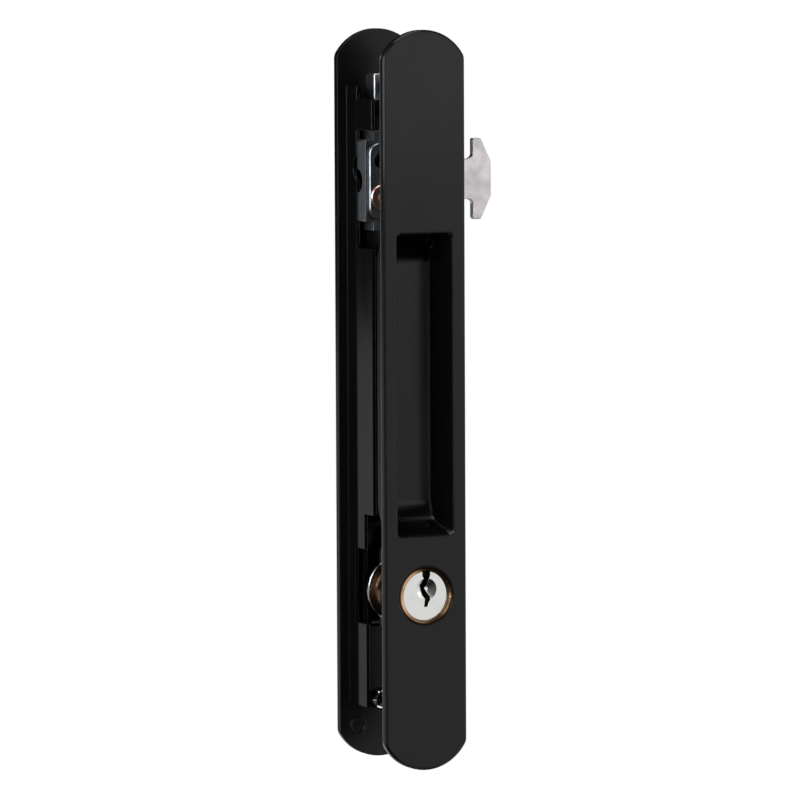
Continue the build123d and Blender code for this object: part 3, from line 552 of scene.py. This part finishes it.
class LOCK_OT_plates(DoorLockOperator, bpy.types.Operator):
    """Paint the two plates and the thumb slide"""

    bl_idname = "door_lock.plates"
    bl_label = "Paint Plates"

    def execute(self, context):
        paint = self.settings(context).paint
        lip = 0.5 * millimetre
        low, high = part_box("front_plate")
        recess = (low.y + lip, high.y, paint.recess_gloss)
        front = black_paint("black_paint_front", paint, paint.rim_round, paint.dust, recess)
        plate_thickness = 3 * millimetre
        reach = 0.3 * millimetre
        _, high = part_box("rear_plate")
        inner_face = high.y - plate_thickness
        near_door = (inner_face - reach, inner_face + reach, paint.inner_gloss)
        rear = black_paint("black_paint_rear", paint, paint.cast_round, paint.rear_dust, near_door)
        slide = black_paint("black_paint_slide", paint, paint.cast_round, paint.dust)
        coat(["front_plate"], front)
        coat(["rear_plate"], rear)
        coat(["thumb_slide"], slide)
        soften(["front_plate", "rear_plate", "thumb_slide"], paint.edge_round)
        return {"FINISHED"}


class LOCK_OT_cylinder(DoorLockOperator, bpy.types.Operator):
    """Finish the key cylinder, its face and its end plate"""

    bl_idname = "door_lock.cylinder"
    bl_label = "Finish Cylinder"

    def execute(self, context):
        metal = self.settings(context).metal
        low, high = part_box("cylinder_barrel")
        centre_z = (low.z + high.z) / 2
        cap_low, cap_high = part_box("plug_cap")
        bore = (cap_high.x - cap_low.x) / 2
        coat(["cylinder_barrel"], turned_brass(metal, centre_z, bore, rim_y=low.y))
        cap = bright_plating("bright_cap", metal, centre_z, round_radius=0.1 * millimetre)
        coat(["plug_cap"], cap)
        end_plate = bright_plating("bright_end_plate", metal, centre_z, round_radius=0.8 * millimetre)
        coat(["cylinder_end_plate"], end_plate)
        wafers = [name for name in names_starting("wafer_") if "spring" not in name]
        coat(["cylinder_plug"] + wafers, keyway_brass(metal, centre_z))
        return {"FINISHED"}


class LOCK_OT_hook(DoorLockOperator, bpy.types.Operator):
    """Finish the double hook"""

    bl_idname = "door_lock.hook"
    bl_label = "Finish Hook"

    def execute(self, context):
        metal = self.settings(context).metal
        coat(["hook"], satin_nickel(metal))
        soften(["hook"], 2 * metal.edge_round)
        return {"FINISHED"}


class LOCK_OT_carriage(DoorLockOperator, bpy.types.Operator):
    """Finish the carriage, the bar, the cam, the top collar and the springs"""

    bl_idname = "door_lock.carriage"
    bl_label = "Finish Carriage"

    def execute(self, context):
        metal = self.settings(context).metal
        pressed = ["carriage_case", "carriage_cover", "slide_bar"]
        coat(pressed + ["cam", "top_screw_collar"], zinc_plating(metal))
        coat(["hook_rivet"], copper_plating(metal))
        coat(["friction_leaf", "hook_packer"] + names_starting("wafer_spring_"), spring_steel(metal))
        soften(pressed, metal.edge_round)
        return {"FINISHED"}


class LOCK_OT_screws(DoorLockOperator, bpy.types.Operator):
    """Finish the posts, the screws, the studs, the bar's guides and the bottom collar"""

    bl_idname = "door_lock.screws"
    bl_label = "Finish Screws"

    def execute(self, context):
        metal = self.settings(context).metal
        blackened = ["top_mounting_screw", "bottom_mounting_screw", "cylinder_set_screw"]
        blackened += ["top_post", "bottom_post"] + names_starting("bar_guide_")
        coat(blackened, black_oxide(metal))
        small = names_starting("end_plate_screw_", "thumb_screw_", "upper_link", "lower_link")
        coat(small + ["cam_screw"], plated_screw(metal))
        low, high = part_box("bottom_screw_collar")
        centre_z = (low.z + high.z) / 2
        ring = bright_plating("bright_collar", metal, centre_z, round_radius=0.3 * millimetre)
        coat(["bottom_screw_collar"], ring)
        return {"FINISHED"}


def aim(direction):
    """Turn of a lamp or a camera that looks in one direction."""
    return direction.to_track_quat("-Z", "Y")


class Sky(Graph):
    """Light of the studio, by the direction that it comes from: x right, y to the rear and z up.

    The camera sees plain white. The lock is lit by panels and walls of several levels.
    """

    def __init__(self, name):
        self.world = bpy.data.worlds.new(name)
        self.world.use_nodes = True
        super().__init__(self.world.node_tree)
        self.x, self.y, self.z = self.split(self.add("ShaderNodeTexCoord").outputs["Generated"])

    def ramp(self, value, between, levels):
        """Level that goes smoothly from one number to another between two directions."""
        return self.span(value, between, levels, "SMOOTHSTEP")

    def band(self, value, rise, fall, level=1.0, rest=0.0):
        """Level of a band with soft edges, of which rest stays beyond its far edge."""
        risen = self.ramp(value, rise, (0.0, level))
        fallen = self.ramp(value, fall, (0.0, level - rest))
        return self.math("SUBTRACT", risen, fallen)

    def facing(self, side):
        """How nearly a direction points to one side."""
        across = self.math("MULTIPLY", self.x, side[0])
        along = self.math("MULTIPLY", self.y, side[1])
        return self.math("ADD", across, along)

    def mix(self, share, first, second):
        """Number between two others."""
        # Inputs 2 and 3 and output 0 of this node are its numbers.
        return self.add("ShaderNodeMix", {0: share, 2: first, 3: second}, data_type="FLOAT").outputs[0]

    def front(self):
        """Light in front of the lock, from a wide panel and from what stands round it."""
        above_foot = self.ramp(self.z, between=(-0.35, -0.15), levels=(0.15, 1.0))
        below_head = self.ramp(self.z, between=(0.03, 0.3), levels=(1.0, 0.3))
        across = self.ramp(self.facing(panel_side), between=(0.76, 0.88), levels=(0.08, 1.0))
        shape = self.chain("MULTIPLY", across, above_foot, below_head)
        panel = self.math("MULTIPLY", self.ramp(self.z, between=(-0.052, -0.026), levels=(0.74, 1.2)), shape)

        lower_left = self.ramp(self.z, between=(-0.115, -0.092), levels=(0.42, 0.12))
        upper_left = self.ramp(self.z, between=(-0.05, -0.03), levels=(0.0, 1.1))
        left = self.ramp(self.x, between=(-0.75, -0.45), levels=(1.0, 0.0))
        left_level = self.math("MAXIMUM", lower_left, upper_left)
        left_wall = self.chain("MULTIPLY", left_level, above_foot, left)

        strip_height = self.band(self.z, rise=(-0.108, -0.09), fall=(-0.06, -0.045), level=5.0, rest=0.5)
        strip_width = self.band(self.x, rise=(-0.28, -0.2), fall=(-0.1, -0.02))
        strip = self.math("MULTIPLY", strip_height, strip_width)

        ceiling = self.ramp(self.z, between=(0.9, 0.94), levels=(0.0, 4.0))
        far_right = self.ramp(self.x, between=(0.95, 0.985), levels=(0.0, 0.7))
        right = self.ramp(self.x, between=(0.5, 0.7), levels=(0.0, 0.8))
        low = self.ramp(self.z, between=(-0.3, -0.22), levels=(1.0, 0.0))
        low_right = self.math("MULTIPLY", right, low)
        return self.chain("MAXIMUM", panel, left_wall, strip, ceiling, low_right, far_right)

    def rear(self):
        """Light behind the lock, from a dark wall, its pale foot and head, and a small panel."""
        low_wall = self.ramp(self.z, between=(-0.0725, -0.0675), levels=(0.34, 0.012))
        high_wall = self.ramp(self.z, between=(0.5, 0.9), levels=(0.0, 1.0))
        panel_width = self.band(self.x, rise=(-0.2, -0.1), fall=(0.24, 0.34), level=0.9)
        panel_height = self.band(self.z, rise=(-0.46, -0.4), fall=(0.1, 0.2))
        panel = self.math("MULTIPLY", panel_width, panel_height)
        return self.chain("MAXIMUM", low_wall, high_wall, panel)

    def done(self):
        """Join the two sides and the camera's white, and give back the world."""
        behind = self.ramp(self.facing(mirror_side), between=(0.55, 0.85), levels=(0.0, 1.0))
        light = self.mix(behind, self.front(), self.rear())
        camera = self.add("ShaderNodeLightPath").outputs["Is Camera Ray"]
        strength = self.mix(camera, light, 1.0)
        background = self.add("ShaderNodeBackground", {"Color": white, "Strength": strength})
        self.add("ShaderNodeOutputWorld", {"Surface": background.outputs[0]})
        return self.world


class LOCK_OT_stage(DoorLockOperator, bpy.types.Operator):
    """Set the floor, the studio light and the camera"""

    bl_idname = "door_lock.stage"
    bl_label = "Set Stage"

    def execute(self, context):
        scene = context.scene
        stage = self.settings(context).stage
        self.floor(scene, stage)
        scene.world = Sky("studio").done()
        self.softbox(
            scene, "left_softbox", place=Vector((-0.78, -0.36, 0.3)), target=Vector((0.0, 0.0, 0.3)),
            width=0.4, height=0.52, radiance=6.0,
        )
        self.camera(scene, stage)
        scene.view_settings.view_transform = "Standard"
        return {"FINISHED"}

    def floor(self, scene, stage):
        """Round pale floor below the lock."""
        corners = 96
        turns = (2 * math.pi * step / corners for step in range(corners))
        radius = stage.floor_radius
        rim = [(radius * math.cos(turn), radius * math.sin(turn), 0.0) for turn in turns]
        mesh = bpy.data.meshes.new("floor")
        mesh.from_pydata(rim, [], [tuple(range(corners))])
        mesh.materials.append(self.floor_material())
        floor = bpy.data.objects.new("floor", mesh)
        floor.location.z = cad_bounds[0][2] - stage.floor_drop
        scene.collection.objects.link(floor)

    def floor_material(self):
        """Matt white that the camera and mirrors see as paper white."""
        glow = 0.5
        finish = Finish("floor", (0.8, 0.8, 0.8), metallic=0.0, roughness=0.9)
        paper = finish.noise(0.3, detail=2.0)
        finish.stain(paper, between=(0.3, 0.7), strength=1.0, colour=(0.78, 0.78, 0.78))
        path = finish.add("ShaderNodeLightPath").outputs
        rays = (path["Is Camera Ray"], path["Is Glossy Ray"], path["Is Transmission Ray"])
        seen = finish.chain("MAXIMUM", *rays)
        finish.fill(finish.shader.inputs["Emission Color"], white)
        finish.fill(finish.shader.inputs["Emission Strength"], finish.math("MULTIPLY", seen, glow))
        return finish.done()

    def softbox(self, scene, name, place, target, width, height, radiance):
        """Area lamp of a given brightness that the camera doesn't see."""
        lamp = bpy.data.lights.new(name, "AREA")
        lamp.shape = "RECTANGLE"
        lamp.size = width
        lamp.size_y = height
        lamp.energy = radiance * width * height * math.pi
        piece = bpy.data.objects.new(name, lamp)
        piece.location = place
        piece.rotation_euler = aim(target - place).to_euler()
        piece.visible_camera = False
        scene.collection.objects.link(piece)

    def camera(self, scene, stage):
        """Long lens from the keyed side, left of square and a little above."""
        aside = math.sin(stage.azimuth) * math.cos(stage.elevation)
        ahead = -math.cos(stage.azimuth) * math.cos(stage.elevation)
        away = Vector((aside, ahead, math.sin(stage.elevation)))
        data = bpy.data.cameras.new("camera")
        data.sensor_width = 36.0
        data.lens = stage.lens
        data.shift_y = stage.shift
        data.clip_end = 100.0
        camera = bpy.data.objects.new("camera", data)
        place = Matrix.Translation(away * stage.distance)
        turn = aim(-away).to_matrix().to_4x4()
        roll = Euler((0, 0, stage.roll)).to_matrix().to_4x4()
        camera.matrix_world = place @ turn @ roll
        scene.collection.objects.link(camera)
        scene.camera = camera


STEPS = (LOCK_OT_plates, LOCK_OT_cylinder, LOCK_OT_hook, LOCK_OT_carriage, LOCK_OT_screws, LOCK_OT_stage)


class LOCK_PT_sidebar(bpy.types.Panel):
    """Sizes, colours and steps of the lock"""

    bl_idname = "LOCK_PT_sidebar"
    bl_label = "Door Lock"
    bl_space_type = "VIEW_3D"
    bl_region_type = "UI"
    bl_category = "Door Lock"

    def draw(self, context):
        for name, group in GROUPS.items():
            box = self.layout.box()
            box.label(text=name.title())
            values = getattr(context.scene.door_lock, name)
            for key in group.__annotations__:
                box.prop(values, key)
        for step in STEPS:
            self.layout.operator(step.bl_idname)


CLASSES = (*GROUPS.values(), DoorLockProperties, *STEPS, LOCK_PT_sidebar)


def register():
    """Add the lock's settings, steps and panel to Blender."""
    for item in CLASSES:
        bpy.utils.register_class(item)
    bpy.types.Scene.door_lock = PointerProperty(type=DoorLockProperties)


def unregister():
    """Take the lock's settings, steps and panel out of Blender again."""
    del bpy.types.Scene.door_lock
    for item in reversed(CLASSES):
        bpy.utils.unregister_class(item)


def main():
    """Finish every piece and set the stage."""
    register()
    bpy.ops.door_lock.plates()
    bpy.ops.door_lock.cylinder()
    bpy.ops.door_lock.hook()
    bpy.ops.door_lock.carriage()
    bpy.ops.door_lock.screws()
    bpy.ops.door_lock.stage()


if __name__ == "__main__":
    main()
